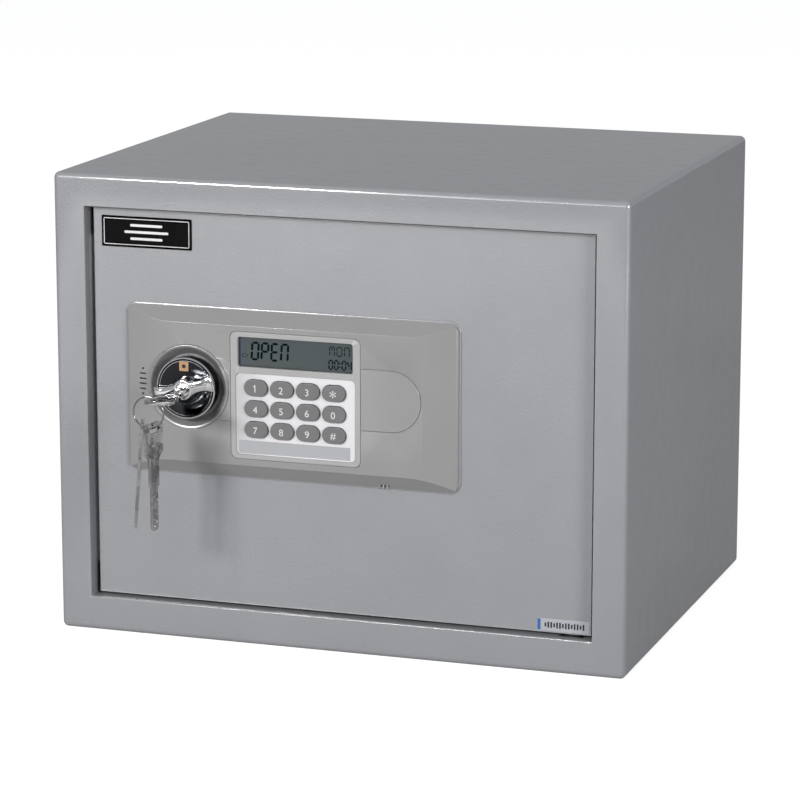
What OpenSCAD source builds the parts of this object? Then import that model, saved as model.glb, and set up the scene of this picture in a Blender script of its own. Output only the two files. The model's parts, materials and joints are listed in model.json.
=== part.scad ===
// In-room safe: a folded steel box with a recessed door on concealed pins, a keypad panel,
// a turn knob with a key override, two sliding bolts and the parts inside the door.
// Units are millimetres. +Z is up, the door faces -Y, and the origin is the centre of the base.

/* [Body] */
// Width of the body
body_w = 380; // [370:5:420]
// Height of the body
body_h = 300; // [295:5:340]
// Depth of the body
body_d = 300; // [260:10:380]
// Thickness of the body sheet
sheet_t = 2; // [1.5:0.5:3]
// Outside radius of the folded edges
edge_r = 4; // [3:0.5:5]
// Width of the front frame at each side
frame_side = 21.3; // [20:0.1:24]
// Width of the front frame at the top
frame_top = 21; // [20:0.5:24]
// Width of the front frame at the bottom
frame_bottom = 22.5; // [21:0.5:24]
// Depth of the flange folded back round the door opening
flange_depth = 14; // [12:0.5:16]

/* [Door] */
// How far the door's face lies behind the frame's face
door_recess = 8; // [7:0.5:9]
// Thickness of the door's front plate
door_t = 4; // [3:0.5:5]
// Gap at each side of the door
gap_side = 3.2; // [3:0.1:3.6]
// Gap above the door
gap_top = 2; // [1.5:0.1:2.5]
// Gap below the door
gap_bottom = 1.8; // [1.5:0.1:2]
// Radius of a hinge pin
pin_r = 3.5; // [3:0.5:3.5]

/* [Panel] */
// Width of the keypad panel
panel_w = 223; // [221:1:226]
// Height of the keypad panel
panel_h = 108; // [106:1:112]
// Thickness of the keypad panel
panel_t = 8; // [7.5:0.1:8]

/* [Keypad] */
// Width of one key
cap_w = 15.6; // [14:0.1:16]
// Height of one key
cap_h = 10.4; // [9:0.1:11]
// How far a key can be pressed
cap_travel = 0.8; // [0.5:0.1:0.9]

/* [Lock] */
// Diameter of the turn knob's disc
knob_d = 39.5; // [36:0.5:40]
// How far the bolts travel
bolt_throw = 16; // [14:0.5:16]
// Radius of a locking bolt
bolt_r = 9; // [8:0.5:9]
// Angle of the knob's wings above the horizontal when the bolts are drawn back
wing_angle = 15; // [0:1:20]

/* [Hidden] */
$fn = 64;
eps = 0.01;

// Body
front_y = -body_d / 2;
back_y = body_d / 2;
side_x = body_w / 2;
inner_x = side_x - sheet_t;
open_x = side_x - frame_side;
open_z0 = frame_bottom;
open_z1 = body_h - frame_top;
flange_y = front_y + flange_depth;
anchor_r = 5.5;
anchor_x = 100;
anchor_y = 20;
anchor_z = 150;
mat_t = 2.5;
mat_hole_r = 13;

// Door
face_y = front_y + door_recess;
plate_y = face_y + door_t;
door_x = open_x - gap_side;
door_z0 = open_z0 + gap_bottom;
door_z1 = open_z1 - gap_top;
pan_t = 1.5;
pan_x = door_x - 4.5;
pan_z0 = door_z0 + 1.7;
pan_z1 = door_z1 - 1.8;
pan_y = plate_y + 34;
pan_lip = 12;
cover_t = 1;
cover_y = pan_y + cover_t;
screw_rows = [pan_z0 + 9, (pan_z0 + pan_z1) / 2, pan_z1 - 9];
screw_x = pan_x - 7.5;
screw_r = 1.6;

// Hinge: the pins stand on the axis that every hinge part shares
hinge_x = open_x - 16;
hinge_y = plate_y + 4.5;
bracket_t = 4;
pin_gap = 0.06;
block_h = 10;
notch_r = 8;

// Panel: its outline, and its front face
panel_x = -31.7;
panel_z = 163;
panel_y = face_y - panel_t;
panel_wall = 1.8;
seam = 0.25;
panel_screw_x = [panel_x - panel_w / 2 + 12, panel_x + panel_w / 2 - 12];
panel_screw_z = [panel_z - panel_h / 2 + 14, panel_z + panel_h / 2 - 14];

// Module in the middle of the panel
module_x = -26.5;
module_z = 163.4;
module_w = 86.8;
module_h = 82;
lcd_z = 191.5;
lcd_w = 77;
lcd_h = 19.2;
pad_z = 151.5;
pad_w = 80;
pad_h = 52.6;
cap_pitch_x = 17.4;
cap_pitch_z = 13.5;
cap_x0 = module_x - 1.5 * cap_pitch_x;
cap_z0 = 168.9;
cap_gap = 0.25;
plate_front = panel_y + 0.3;
strip_z = 130.2;
strip_w = 74.6;
strip_h = 8.4;
strip_x = -27.2;

// Turn knob and lock
knob_x = -98.6;
knob_z = 166.5;
dish_r = 27.5;
disc_y = panel_y - 5;
disc_back = panel_y + 3.4;
hub_y = disc_y - 5.8;
sleeve_r = 8;
spindle_r = 6;
plug_r = 4.5;
plug_back = plate_y + 5;
cam_y0 = plate_y + 20.5;
cam_y1 = cam_y0 + 4;
cam_pin_r = 3;
crank_r = bolt_throw / sqrt(2);

// Bolt carriage: a bent plate behind the bolts
bolt_y = plate_y + 17;
bolt_z = [75, 225];
bolt_tip = -pan_x - 0.5;
car_y0 = plate_y + 26;
car_t = 2.5;
tab_x = -123;
tab_t = 3;
car_x0 = tab_x;
car_x1 = -70;
car_z0 = 60;
car_z1 = 240;
stud_x = -104;
stud_z = [100, 206];
stud_r = 3;
cam_slot = cam_pin_r + 0.5;

// Solenoid that drops a plunger into the carriage's notch
sol_x = -45;
sol_y = car_y0 - 1;
plunger_r = 3.5;
plunger_drop = 5;
ear_z = 200;
sol_z0 = ear_z + 6;

// Battery box and its lid
box_x = 98;
box_z = 162;
box_w = 58;
box_h = 66;
box_d = 19;
cell_r = 7.1;
cell_l = 50;
cell_pitch = 14.9;
lid_w = 66;
lid_h = 74;
lid_t = 2;
reset_x = 140;
reset_z = 232;

// Keys
key_t = 2;
bow_w = 18;
bow_l = 22;
neck_w = 9;
neck_l = 19;
blade_w = 6;
blade_l = 28;
slot_half = 5.4;
slot_r = 2.4;
hole_in = 4.4;
rim_x = (bow_w / 2 + slot_half) / 2;
ring_r = 10.1;
wire_r = 0.75;
key_l = bow_l + neck_l + blade_l;
key_y = hub_y - 1.5 - neck_l - bow_l;
hole_y = key_y + hole_in;
ring_x = knob_x - rim_x;
ring_z = knob_z - 7.1;

CAPS = [
    ["key_1", "key_2", "key_3", "key_star"],
    ["key_4", "key_5", "key_6", "key_0"],
    ["key_7", "key_8", "key_9", "key_hash"]
];

// ---- helpers ----

// A rectangle with round corners, centred on the origin
module round_rect(w, h, r) {
    square([w - 2 * r, h], center = true);
    square([w, h - 2 * r], center = true);
    for (x = [r - w / 2, w / 2 - r], z = [r - h / 2, h / 2 - r]) translate([x, z]) circle(r = r);
}

// A slot with round ends, from x0 to x1
module slot_shape(x0, x1, r) {
    translate([x0, -r]) square([x1 - x0, 2 * r]);
    for (x = [x0, x1]) translate([x, 0]) circle(r = r);
}

// Draws a shape in X and Z, from y0 back to y1
module along_y(y0, y1) {
    translate([0, y1, 0]) rotate([90, 0, 0]) linear_extrude(y1 - y0) children();
}

// Draws a shape in Y and Z, from x0 to x1
module along_x(x0, x1) {
    translate([x0, 0, 0]) rotate([90, 0, 90]) linear_extrude(x1 - x0) children();
}

module block(x0, x1, y0, y1, z0, z1) {
    translate([x0, y0, z0]) cube([x1 - x0, y1 - y0, z1 - z0]);
}

module rod_x(y, z, r, x0, x1) {
    translate([x0, y, z]) rotate([0, 90, 0]) cylinder(r = r, h = x1 - x0);
}

module rod_y(x, z, r, y0, y1) {
    translate([x, y1, z]) rotate([90, 0, 0]) cylinder(r = r, h = y1 - y0);
}

module rod_z(x, y, r, z0, z1) {
    translate([x, y, z0]) cylinder(r = r, h = z1 - z0);
}

module plate_shape(x, z, w, h, r) {
    translate([x, z]) round_rect(w, h, r);
}

// ---- body ----

module shell_solid() {
    cx = side_x - edge_r;
    hull() for (x = [-cx, cx], z = [edge_r, body_h - edge_r]) {
        translate([x, front_y + edge_r, z]) sphere(r = edge_r, $fn = 32);
        translate([x, back_y, z]) rotate([90, 0, 0]) cylinder(r = edge_r, h = 1, $fn = 32);
    }
}

module opening_flange() {
    difference() {
        block(-open_x - sheet_t, open_x + sheet_t, front_y + sheet_t, flange_y,
              open_z0 - sheet_t, open_z1 + sheet_t);
        block(-open_x, open_x, front_y, flange_y + 1, open_z0, open_z1);
        for (z = [open_z0 - sheet_t - 1, open_z1 - 1])
            block(hinge_x - notch_r, hinge_x + notch_r, hinge_y - notch_r, flange_y + 1,
                  z, z + sheet_t + 2);
    }
}

// The folded sheet behind the front frame: floor, roof and two sides
module body_shell() {
    color("lightslategray") difference() {
        shell_solid();
        block(-side_x - 1, side_x + 1, front_y - 1, front_y + edge_r, -1, body_h + 1);
        block(-inner_x, inner_x, front_y, back_y + 1, sheet_t, body_h - sheet_t);
        for (x = [-anchor_x, anchor_x]) rod_z(x, anchor_y, anchor_r, -1, sheet_t + 1);
    }
}

module front_frame() {
    color("lightslategray") {
        difference() {
            shell_solid();
            block(-side_x - 1, side_x + 1, front_y + edge_r, back_y + 1, -1, body_h + 1);
            block(-inner_x, inner_x, front_y + sheet_t, back_y, sheet_t, body_h - sheet_t);
            block(-open_x, open_x, front_y - 1, front_y + sheet_t + 1, open_z0, open_z1);
        }
        opening_flange();
    }
}

module back_panel() {
    color("lightslategray") difference() {
        block(-inner_x, inner_x, back_y - sheet_t, back_y, sheet_t, body_h - sheet_t);
        for (x = [-anchor_x, anchor_x])
            rod_y(x, anchor_z, anchor_r, back_y - sheet_t - 1, back_y + 1);
    }
}

module hinge_brackets() {
    color("lightslategray") for (z = [open_z0 - sheet_t - bracket_t, open_z1 + sheet_t])
        difference() {
            block(hinge_x - 14, inner_x, front_y + sheet_t, hinge_y + 16, z, z + bracket_t);
            rod_z(hinge_x, hinge_y, pin_r, z - 1, z + bracket_t + 1);
        }
}

module hinge_pins() {
    low = open_z0 - sheet_t - bracket_t;
    high = open_z1 + sheet_t + bracket_t;
    color("silver") {
        rod_z(hinge_x, hinge_y, pin_r, low, pan_z0 + block_h - 0.5);
        rod_z(hinge_x, hinge_y, pin_r + 2.5, low - 3, low);
        rod_z(hinge_x, hinge_y, pin_r, pan_z1 - block_h + 0.5, high);
        rod_z(hinge_x, hinge_y, pin_r + 2.5, high, high + 3);
    }
}

module thrust_washer() {
    color("white") difference() {
        union() {
            rod_z(hinge_x, hinge_y, pin_r + 3, open_z0 - sheet_t, door_z0 - 0.3);
            rod_z(hinge_x, hinge_y, pin_r + 0.8, door_z0 - 0.3, pan_z0 - 0.05);
        }
        rod_z(hinge_x, hinge_y, pin_r + pin_gap, open_z0 - sheet_t - 1, pan_z0 + 1);
    }
}

module door_stop() {
    edge = -door_x + 2;
    color("lightslategray") {
        block(-open_x - sheet_t, edge, flange_y, flange_y + 1.5, open_z0 + 20, open_z1 - 20);
        block(edge - 2, edge, plate_y + 0.3, flange_y, open_z0 + 20, open_z1 - 20);
    }
}

module floor_mat() {
    color("dimgray") difference() {
        block(-inner_x + 1, inner_x - 1, flange_y + 8, back_y - sheet_t - 1,
              sheet_t, sheet_t + mat_t);
        for (x = [-anchor_x, anchor_x]) rod_z(x, anchor_y, mat_hole_r, 0, sheet_t + mat_t + 1);
    }
}

// ---- door ----

module door_plate() {
    color("lightslategray") difference() {
        block(-door_x, door_x, face_y, plate_y, door_z0, door_z1);
        rod_y(knob_x, knob_z, sleeve_r + 2, face_y - 1, plate_y + 1);
        rod_y(module_x, module_z - 12, 8, face_y - 1, plate_y + 1);
        for (x = panel_screw_x, z = panel_screw_z)
            rod_y(x, z, 2.2, face_y - 1, plate_y + 1);
    }
}

module door_pan() {
    color("lightslategray") difference() {
        block(-pan_x, pan_x, plate_y, pan_y, pan_z0, pan_z1);
        block(-pan_x + pan_t, pan_x - pan_t, plate_y - 1, pan_y - pan_t,
              pan_z0 + pan_t, pan_z1 - pan_t);
        block(-pan_x + pan_lip, pan_x - pan_lip, plate_y, pan_y + 1,
              pan_z0 + pan_lip, pan_z1 - pan_lip);
        for (z = bolt_z) rod_x(bolt_y, z, bolt_r + 3, -pan_x - 1, -pan_x + pan_t + 1);
        rod_z(hinge_x, hinge_y, pin_r + 0.5, pan_z0 - 1, pan_z0 + pan_t + 1);
        rod_z(hinge_x, hinge_y, pin_r + 0.5, pan_z1 - pan_t - 1, pan_z1 + 1);
        for (x = [-screw_x, screw_x], z = screw_rows)
            rod_y(x, z, screw_r, pan_y - pan_t - 1, pan_y + 1);
    }
}

module hinge_blocks() {
    color("silver") for (z = [pan_z0 + pan_t, pan_z1 - pan_t - block_h]) difference() {
        block(hinge_x - 12, pan_x - pan_t, plate_y, hinge_y + 10, z, z + block_h);
        rod_z(hinge_x, hinge_y, pin_r + pin_gap, z - 1, z + block_h + 1);
    }
}

module bolt_bushes() {
    wall = -pan_x + pan_t;
    color("white") for (z = bolt_z) difference() {
        union() {
            rod_x(bolt_y, z, bolt_r + 3, -pan_x, wall + 9);
            rod_x(bolt_y, z, bolt_r + 6, wall, wall + 2.5);
        }
        rod_x(bolt_y, z, bolt_r + pin_gap, -pan_x - 1, wall + 10);
    }
}

module guide_studs() {
    color("silver") for (z = stud_z) {
        rod_y(stud_x, z, stud_r + 3, plate_y, car_y0 - 0.3);
        rod_y(stud_x, z, stud_r, car_y0 - 0.3, car_y0 + car_t + 0.3);
        rod_y(stud_x, z, stud_r + 4, car_y0 + car_t + 0.3, car_y0 + car_t + 1.8);
    }
}

module solenoid() {
    top = sol_z0 + 32;
    color("dimgray") difference() {
        union() {
            block(sol_x - 13, sol_x + 13, sol_y - 8, sol_y + 7, sol_z0, sol_z0 + 2);
            block(sol_x - 13, sol_x + 13, sol_y - 8, sol_y + 7, top - 2, top);
            block(sol_x - 13, sol_x + 13, sol_y - 10, sol_y - 8, sol_z0, top);
            rod_z(sol_x, sol_y, 6.8, sol_z0 + 2, top - 2);
            for (z = [sol_z0 + 4, top - 8])
                block(sol_x - 13, sol_x - 7, plate_y, sol_y - 10, z, z + 4);
        }
        rod_z(sol_x, sol_y, plunger_r + pin_gap, sol_z0 - 1, top - 6);
    }
}

module main_board() {
    y0 = plate_y + 10;
    color("darkgreen") block(-32, 48, y0, y0 + 1.6, 122, 184);
    color("black") {
        for (x = [-22, 2]) block(x, x + 14, y0 + 1.6, y0 + 3.6, 140, 148);
        block(-10, 10, y0 + 1.6, y0 + 4, 160, 172);
        block(26, 40, y0 + 1.6, y0 + 12, 130, 146);
        for (x = [24, 34]) rod_y(x, 166, 4, y0 + 1.6, y0 + 12);
    }
    color("ivory") block(-30, -26, y0 + 1.6, y0 + 8, 146, 160);
}

module board_standoffs() {
    color("gold") for (x = [-28, 44], z = [126, 180])
        rod_y(x, z, 2.6, plate_y, plate_y + 10);
}

module battery_box() {
    color("black") difference() {
        block(box_x - box_w / 2, box_x + box_w / 2, pan_y - box_d, pan_y,
              box_z - box_h / 2, box_z + box_h / 2);
        block(box_x - box_w / 2 + 1.5, box_x + box_w / 2 - 1.5, pan_y - box_d + 1.5, pan_y + 1,
              box_z - box_h / 2 + 1.5, box_z + box_h / 2 - 1.5);
    }
}

module batteries() {
    y = pan_y - box_d + 1.5 + cell_r + 0.2;
    color("goldenrod") for (i = [0:3]) {
        z = box_z + (i - 1.5) * cell_pitch;
        way = i % 2 == 0 ? 1 : -1;
        rod_x(y, z, cell_r, box_x - cell_l / 2, box_x + cell_l / 2);
        rod_x(y, z, 2.7, way > 0 ? box_x + cell_l / 2 : box_x - cell_l / 2 - 1.2,
              way > 0 ? box_x + cell_l / 2 + 1.2 : box_x - cell_l / 2);
    }
}

module door_cover() {
    edge = 3.5;
    color("lightslategray") difference() {
        block(-pan_x + edge, pan_x - edge, pan_y, cover_y, pan_z0 + edge, pan_z1 - edge);
        block(box_x - box_w / 2 + 1.5, box_x + box_w / 2 - 1.5, pan_y - 1, cover_y + 1,
              box_z - box_h / 2 + 1.5, box_z + box_h / 2 - 1.5);
        rod_y(reset_x, reset_z, 3.7, pan_y - 1, cover_y + 1);
        for (x = [-screw_x, screw_x], z = screw_rows)
            rod_y(x, z, screw_r, pan_y - 1, cover_y + 1);
    }
}

// Screws that hold the inner cover from behind, and the panel through the door plate
module door_screws() {
    color("silver") {
        for (x = [-screw_x, screw_x], z = screw_rows) {
            rod_y(x, z, screw_r, pan_y - 4, cover_y);
            difference() {
                rod_y(x, z, 3.6, cover_y, cover_y + 1.8);
                block(x - 2.2, x + 2.2, cover_y + 1, cover_y + 2, z - 0.4, z + 0.4);
                block(x - 0.4, x + 0.4, cover_y + 1, cover_y + 2, z - 2.2, z + 2.2);
            }
        }
        for (x = panel_screw_x, z = panel_screw_z) {
            rod_y(x, z, 1.9, panel_y + 3.2, plate_y);
            rod_y(x, z, 4, plate_y, plate_y + 2.4);
        }
    }
}

module knob_bush() {
    color("white") difference() {
        union() {
            rod_y(knob_x, knob_z, sleeve_r + 2, face_y, plate_y);
            rod_y(knob_x, knob_z, sleeve_r + 5, plate_y, plate_y + 1.5);
        }
        rod_y(knob_x, knob_z, sleeve_r + pin_gap, face_y - 1, plate_y + 2);
    }
}

// ---- panel ----

// The panel's section seen from above: flat in the middle, falling back in an arc at each end
module panel_section_xy() {
    half = panel_w / 2;
    flat = half - 33.5;
    bend = 95;
    arc_end = [for (i = [0:10]) let (t = 2.8 * i)
        [flat + t, panel_y + bend - sqrt(bend * bend - t * t)]];
    nose = [[half - 3.6, panel_y + 4.7], [half - 1.6, panel_y + 5.3],
            [half - 0.4, panel_y + 6], [half, panel_y + 6.8]];
    right = concat(arc_end, nose, [[half, face_y]]);
    polygon(concat(right, [for (i = [len(right) - 1:-1:0]) [-right[i][0], right[i][1]]]));
}

// The panel's section seen from the side: a slope along the top and the bottom
module panel_section_yz() {
    half = panel_h / 2;
    polygon([
        [face_y, -half], [face_y - 1.5, -half], [panel_y, -half + 9], [panel_y, half - 9],
        [face_y - 1.5, half], [face_y, half]
    ]);
}

module panel_solid() {
    translate([panel_x, 0, panel_z]) intersection() {
        translate([0, 0, -panel_h / 2]) linear_extrude(panel_h) panel_section_xy();
        along_x(-panel_w / 2, panel_w / 2) panel_section_yz();
        along_y(panel_y - 1, face_y) round_rect(panel_w, panel_h, 7);
    }
}

module panel_hollow() {
    along_y(panel_y + panel_wall, face_y + 1)
        plate_shape(panel_x, panel_z, panel_w - 40, panel_h - 24, 4);
}

// The outline of the blank cover: straight sides and a round end
module blank_shape(grow) {
    r = 19.6 + grow;
    translate([module_x + module_w / 2 + seam, knob_z - 0.5]) {
        translate([-grow, -r]) square([20 + grow, 2 * r]);
        translate([20, 0]) circle(r = r);
    }
}

module grille_slots() {
    widths = [1.6, 4.4, 5, 5, 4.4, 1.6];
    for (i = [0:5]) translate([-130.8, 0, knob_z + 1.2 + (i - 2.5) * 3.3])
        block(-widths[i] / 2, widths[i] / 2, panel_y - 2, face_y + 1, -0.5, 0.5);
}

module panel_housing() {
    color("darkgray") difference() {
        panel_solid();
        panel_hollow();
        along_y(panel_y - 1, face_y + 1)
            plate_shape(module_x, module_z, module_w + 2 * seam, module_h + 2 * seam, 4);
        rod_y(knob_x, knob_z, dish_r + 0.1, panel_y - 1, face_y + 1);
        along_y(panel_y - 1, panel_y + 1.5) blank_shape(seam);
        for (z = [knob_z - 20.1, knob_z + 19.1])
            block(knob_x, module_x, panel_y - 1, panel_y + 0.5, z - 0.15, z + 0.15);
        grille_slots();
        for (x = panel_screw_x, z = panel_screw_z)
            rod_y(x, z, 1.9, panel_y + 3.2, face_y + 1);
        block(28.6, 34.4, face_y - 3.2, face_y + 1, 108, 114);
    }
}

module lock_dish() {
    floor_y = face_y - 2.2;
    color("gray") translate([knob_x, 0, knob_z]) rotate([90, 0, 0]) rotate_extrude() polygon([
        [sleeve_r + 0.8, -floor_y], [sleeve_r + 0.8, -floor_y + 1.2], [20.8, -floor_y + 1.2],
        [25.6, -panel_y + 0.6], [27, -panel_y + 0.9], [dish_r, -panel_y + 0.3],
        [dish_r, -face_y], [dish_r - 1.6, -face_y], [dish_r - 1.6, -panel_y - 1.6],
        [22, -floor_y]
    ]);
}

module blank_cover() {
    color("darkgray") along_y(panel_y, panel_y + 1.5) blank_shape(0);
}

module keypad_bezel() {
    color("lightgray") difference() {
        along_y(panel_y - 0.2, face_y - 1) plate_shape(module_x, module_z, module_w, module_h, 4);
        along_y(panel_y - 1, face_y) plate_shape(module_x, lcd_z, lcd_w, lcd_h, 1.5);
        along_y(panel_y - 1, face_y) plate_shape(module_x, pad_z, pad_w, pad_h, 3);
    }
}

module lcd_lens() {
    color("white", 0.4) along_y(panel_y + 0.8, panel_y + 1.8)
        plate_shape(module_x, lcd_z, lcd_w - 0.2, lcd_h - 0.2, 1.5);
}

module lcd_panel() {
    color("slategray") block(module_x - lcd_w / 2 + 0.5, module_x + lcd_w / 2 - 0.5,
                             panel_y + 2, panel_y + 4.2, lcd_z - lcd_h / 2 + 0.4,
                             lcd_z + lcd_h / 2 - 0.4);
}

module cap_shape(grow) {
    half = (cap_w - cap_h) / 2;
    slot_shape(-half, half, cap_h / 2 + grow);
}

module keypad_plate() {
    color("silver") difference() {
        along_y(plate_front, plate_front + 1)
            plate_shape(module_x, pad_z, pad_w - 0.2, pad_h - 0.2, 3);
        for (row = [0:2], col = [0:3])
            translate([cap_x0 + col * cap_pitch_x, 0, cap_z0 - row * cap_pitch_z])
                along_y(plate_front - 1, plate_front + 2) cap_shape(cap_gap);
        block(strip_x - strip_w / 2, strip_x + strip_w / 2, plate_front - 1, plate_front + 0.5,
              strip_z - strip_h / 2, strip_z + strip_h / 2);
    }
}

module name_strip() {
    color("gainsboro") block(strip_x - strip_w / 2, strip_x + strip_w / 2, plate_front + 0.2,
                             plate_front + 0.5, strip_z - strip_h / 2, strip_z + strip_h / 2);
}

// One key: a round-ended cap with a wider foot that keeps it behind the plate
module key_cap(row, col) {
    translate([cap_x0 + col * cap_pitch_x, 0, cap_z0 - row * cap_pitch_z]) color("gray") {
        along_y(plate_front - 1.8, plate_front + 1.2) cap_shape(0);
        along_y(plate_front + 1.2, plate_front + 2) cap_shape(0.7);
    }
}

module keypad_mat() {
    y0 = plate_front + 2 + cap_travel + 0.2;
    color("dimgray") along_y(y0, y0 + 0.8) plate_shape(module_x, pad_z, pad_w - 1, pad_h - 1, 2);
}

module keypad_board() {
    y0 = face_y - 1;
    color("darkgreen") block(module_x - module_w / 2 + 1, module_x + module_w / 2 - 1,
                             y0, y0 + 0.9, module_z - module_h / 2 + 1,
                             module_z + module_h / 2 - 1);
}

module power_socket() {
    color("silver") for (x = [30.2, 32.8]) rod_z(x, face_y - 1.8, 0.8, 108.5, 113);
}

module ribbon_cable() {
    z = module_z - 12;
    far = plate_y + 7;
    color("lightgray") along_x(module_x - 5, module_x + 5) polygon([
        [face_y - 0.1, z], [far, z], [far, z - 20], [plate_y + 10, z - 20],
        [plate_y + 10, z - 20.9], [far - 0.9, z - 20.9], [far - 0.9, z - 0.9],
        [face_y - 0.1, z - 0.9]
    ]);
}

module badge_plate() {
    color("black") along_y(face_y - 0.8, face_y) plate_shape(-129, 262.8, 61.5, 20, 0.8);
}

module data_label() {
    color("lightsteelblue") along_y(face_y - 0.2, face_y)
        plate_shape(door_x - 17.6, door_z0 + 4.9, 34, 8, 0.4);
}

// ---- knob, lock and keys ----

// One wing of the knob, from the hub out to a flared tip
module wing_shape() {
    polygon([
        [-1, 5.6], [5, 4.9], [9, 3.6], [14, 3.6], [18.6, 4.9], [19.4, 3.8], [19.6, 0],
        [19.4, -3.4], [18.4, -4.3], [14, -3.3], [9, -3.6], [5, -4.9], [-1, -5.6]
    ]);
}

module turn_knob() {
    color("white") difference() {
        union() {
            rod_y(knob_x, knob_z, knob_d / 2, disc_y + 1, disc_back);
            rod_y(knob_x, knob_z, knob_d / 2 - 1, disc_y, disc_y + 1);
            rod_y(knob_x, knob_z, 7, hub_y, disc_y);
            for (turn = [0, 180]) translate([knob_x, 0, knob_z]) rotate([0, -wing_angle - turn, 0])
                along_y(hub_y + 1, disc_y + 0.4) wing_shape();
            rod_y(knob_x, knob_z, sleeve_r, disc_back, plate_y + 1.7);
            rod_y(knob_x, knob_z, spindle_r, plate_y + 1.7, cam_y1);
        }
        rod_y(knob_x, knob_z, plug_r + pin_gap, hub_y - 1, plug_back + 0.2);
    }
}

module drive_cam() {
    px = knob_x + crank_r * cos(45);
    pz = knob_z + crank_r * sin(45);
    color("silver") {
        difference() {
            union() {
                rod_y(knob_x, knob_z, 9.5, cam_y0, cam_y1);
                rod_y(px, pz, 5, cam_y0, cam_y1);
            }
            rod_y(knob_x, knob_z, spindle_r, cam_y0 - 1, cam_y1 + 1);
        }
        rod_y(px, pz, cam_pin_r, cam_y1, car_y0 + car_t + 0.8);
    }
}

module spindle_clip() {
    color("silver") difference() {
        rod_y(knob_x, knob_z, spindle_r + 4, plate_y + 1.7, plate_y + 2.9);
        rod_y(knob_x, knob_z, spindle_r, plate_y + 1, plate_y + 4);
    }
}

module lock_plug() {
    color("silver") difference() {
        rod_y(knob_x, knob_z, plug_r, hub_y + 0.3, plug_back);
        block(knob_x - blade_w / 2 - 0.1, knob_x + blade_w / 2 + 0.1, hub_y - 1,
              hub_y + blade_l - 1.3, knob_z - key_t / 2 - 0.1, knob_z + key_t / 2 + 0.1);
    }
}

// Flat outline of a key: the bow's top edge is at 0, and the blade points along -Y
module key_shape() {
    b = bow_w / 2;
    neck = neck_w / 2;
    blade = blade_w / 2;
    difference() {
        union() {
            translate([3 - b, -3]) square([bow_w - 6, 3]);
            for (x = [3 - b, b - 3]) translate([x, -3]) circle(r = 3);
            polygon([
                [-b, -3], [-b, 3 - bow_l], [-b + 3, -bow_l], [-neck, -bow_l - 1.5],
                [-neck, -bow_l - neck_l], [-blade, -bow_l - neck_l], [-blade, 1.5 - key_l],
                [-blade + 1.5, -key_l], [blade - 1.5, -key_l], [blade, 1.5 - key_l],
                [blade, -bow_l - neck_l], [neck, -bow_l - neck_l], [neck, -bow_l - 1.5],
                [b - 3, -bow_l], [b, 3 - bow_l], [b, -3]
            ]);
        }
        translate([0, -hole_in]) slot_shape(slot_r - slot_half, slot_half - slot_r, slot_r);
    }
}

module key_blank() {
    translate([0, 0, -key_t / 2]) linear_extrude(key_t) key_shape();
}

module lock_key() {
    color("silver") translate([knob_x, key_y, knob_z]) rotate([0, 0, 180])
        key_blank();
}

module key_ring() {
    color("silver") translate([ring_x, hole_y, ring_z]) rotate([90, 0, 0])
        rotate_extrude() translate([ring_r, 0]) circle(r = wire_r, $fn = 24);
}

// A key that hangs from its slot on the ring's wire, at dx from the ring's middle
module hanging_key(dx, twist, lean) {
    slope = asin(abs(dx) / ring_r);
    lift = wire_r / cos(slope) + key_t / 2 * tan(slope) + 0.25;
    translate([ring_x + dx, hole_y, ring_z - ring_r * cos(slope)]) rotate([0, lean, twist])
        translate([0, 0, hole_in - slot_r + lift]) rotate([90, 0, 90]) key_blank();
}

module spare_key_a() {
    color("silver") hanging_key(-4.4, 20, 4.5);
}

module spare_key_b() {
    color("silver") hanging_key(3, -13, 0);
}

// ---- boltwork ----

module bolt_carriage() {
    slot_x = knob_x + crank_r * cos(45);
    ramp = bolt_throw + plunger_r;
    color("silver") {
        along_y(car_y0, car_y0 + car_t) difference() {
            union() {
                translate([car_x0, car_z0]) square([car_x1 - car_x0, car_z1 - car_z0]);
                polygon([
                    [car_x1 - 1, ear_z - 12], [sol_x + ramp + 5, ear_z - 12],
                    [sol_x + ramp + 5, ear_z + 3], [sol_x + ramp + 1, ear_z + 3],
                    [sol_x + ramp + 1, ear_z - plunger_drop],
                    [sol_x + bolt_throw - plunger_r, ear_z - plunger_drop],
                    [sol_x - plunger_r, ear_z], [car_x1 - 1, ear_z]
                ]);
            }
            for (z = stud_z) translate([stud_x, z]) slot_shape(0, bolt_throw, stud_r + 0.3);
            translate([slot_x, knob_z]) rotate(90)
                slot_shape(crank_r * cos(45), crank_r, cam_slot);
        }
        for (z = bolt_z) difference() {
            block(tab_x, tab_x + tab_t, bolt_y - bolt_r - 1, car_y0, z - 12, z + 12);
            rod_x(bolt_y, z, 4, tab_x - 1, tab_x + tab_t + 1);
        }
    }
}

module lock_bolts() {
    color("white") for (z = bolt_z) {
        rod_x(bolt_y, z, bolt_r - 1, bolt_tip, bolt_tip + 1);
        rod_x(bolt_y, z, bolt_r, bolt_tip + 1, tab_x);
        rod_x(bolt_y, z, 4, tab_x, tab_x + tab_t);
        rod_x(bolt_y, z, 6, tab_x + tab_t, tab_x + tab_t + 3);
    }
}

module solenoid_plunger() {
    color("silver") rod_z(sol_x, sol_y, plunger_r, ear_z + 0.3, ear_z + 26);
}

module reset_button() {
    color("red") {
        rod_y(reset_x, reset_z, 3.4, pan_y - 2, cover_y + 1.6);
        rod_y(reset_x, reset_z, 5, pan_y - 3, pan_y - 1.8);
    }
}

module battery_lid() {
    color("black") {
        along_y(cover_y + 0.1, cover_y + lid_t) plate_shape(box_x, box_z, lid_w, lid_h, 3);
        along_y(cover_y + lid_t, cover_y + lid_t + 0.8) for (i = [0:4])
            translate([box_x - 10, box_z + 22 + i * 2.4]) square([20, 1]);
    }
}

// ---- assembly ----

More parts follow.
